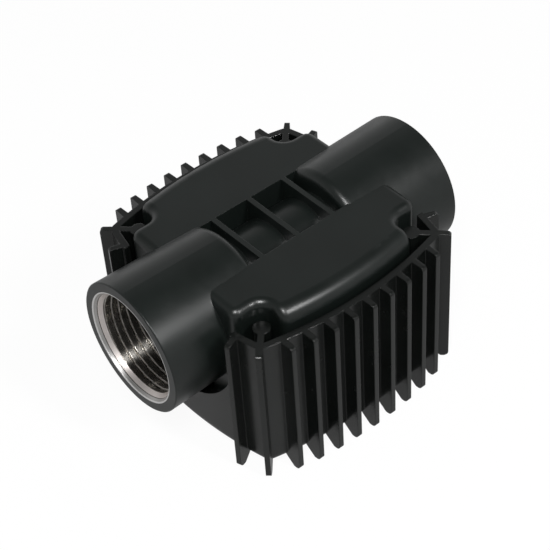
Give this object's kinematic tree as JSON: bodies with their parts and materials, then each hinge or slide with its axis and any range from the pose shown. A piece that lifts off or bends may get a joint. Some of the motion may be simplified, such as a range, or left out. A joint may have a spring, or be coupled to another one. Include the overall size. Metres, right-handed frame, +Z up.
{
  "type": "turbine flow meter",
  "caption": "Inline turbine flow meter: black ribbed tube body with steel-threaded ports in a finned display housing, resting on its display side.",
  "frame": {"origin": "bottom centre of the whole meter, under the middle of the tube", "axes": "+X along the tube from inlet to outlet, +Z up towards the meter's back; the display faces -Z"},
  "size_m": [0.1028, 0.0826, 0.0572],
  "materials": {
    "body_plastic": "satin black moulded nylon",
    "case_plastic": "semi-gloss black moulded nylon",
    "panel_plastic": "satin black moulded plastic",
    "inner_plastic": "plain black moulded plastic",
    "rotor_plastic": "dark moulded nylon",
    "bearing_plastic": "off-white ceramic",
    "magnet": "plated magnet",
    "steel": "turned stainless steel",
    "contact_metal": "nickel plated spring steel",
    "window_clear": "clear moulded acrylic",
    "lcd_glass": "grey-green display glass",
    "seal_rubber": "black seal rubber",
    "button_rubber": "grey moulded rubber",
    "board": "green circuit board",
    "chip": "black package",
    "cell_case": "plain grey cell sleeve"
  },
  "bodies": {
    "meter": {"meter_body": "body_plastic", "finned_housing": "case_plastic", "inlet_thread_insert": "steel", "outlet_thread_insert": "steel", "upstream_support": "inner_plastic", "downstream_support": "inner_plastic", "upstream_bearing": "bearing_plastic", "downstream_bearing": "bearing_plastic", "upstream_retaining_ring": "steel", "downstream_retaining_ring": "steel", "front_panel": "panel_plastic", "display_window": "window_clear", "window_gasket": "seal_rubber", "lcd_panel": "lcd_glass", "lcd_frame": "inner_plastic", "zebra_strips": "seal_rubber", "circuit_board": "board", "processor_chip": "chip", "button_switches": "chip", "sensor_header": "chip", "sensor_board": "board", "pickup_sensor": "chip", "battery_tray": "inner_plastic", "left_battery": "cell_case", "right_battery": "cell_case", "battery_contacts": "contact_metal", "battery_springs": "contact_metal", "body_gasket": "seal_rubber", "body_screws": "steel", "board_screws": "steel", "panel_screws": "steel"},
    "rotor": {"turbine_rotor": "rotor_plastic", "rotor_shaft": "steel", "rotor_magnet": "magnet"},
    "total_push": {"total_button": "button_rubber"},
    "reset_push": {"reset_button": "button_rubber"}
  },
  "joints": [
    {"name": "rotor_spin", "type": "hinge", "parent": "meter", "child": "rotor", "pos_m": [0, 0, 0.0372], "axis": [1, 0, 0], "continuous": true},
    {"name": "total_button_press", "type": "slide", "parent": "meter", "child": "total_push", "axis": [0, 0, 1], "range_m": [0, 0.0008], "stiffness_N_per_m": 1500},
    {"name": "reset_button_press", "type": "slide", "parent": "meter", "child": "reset_push", "axis": [0, 0, 1], "range_m": [0, 0.0008], "stiffness_N_per_m": 1500}
  ]
}
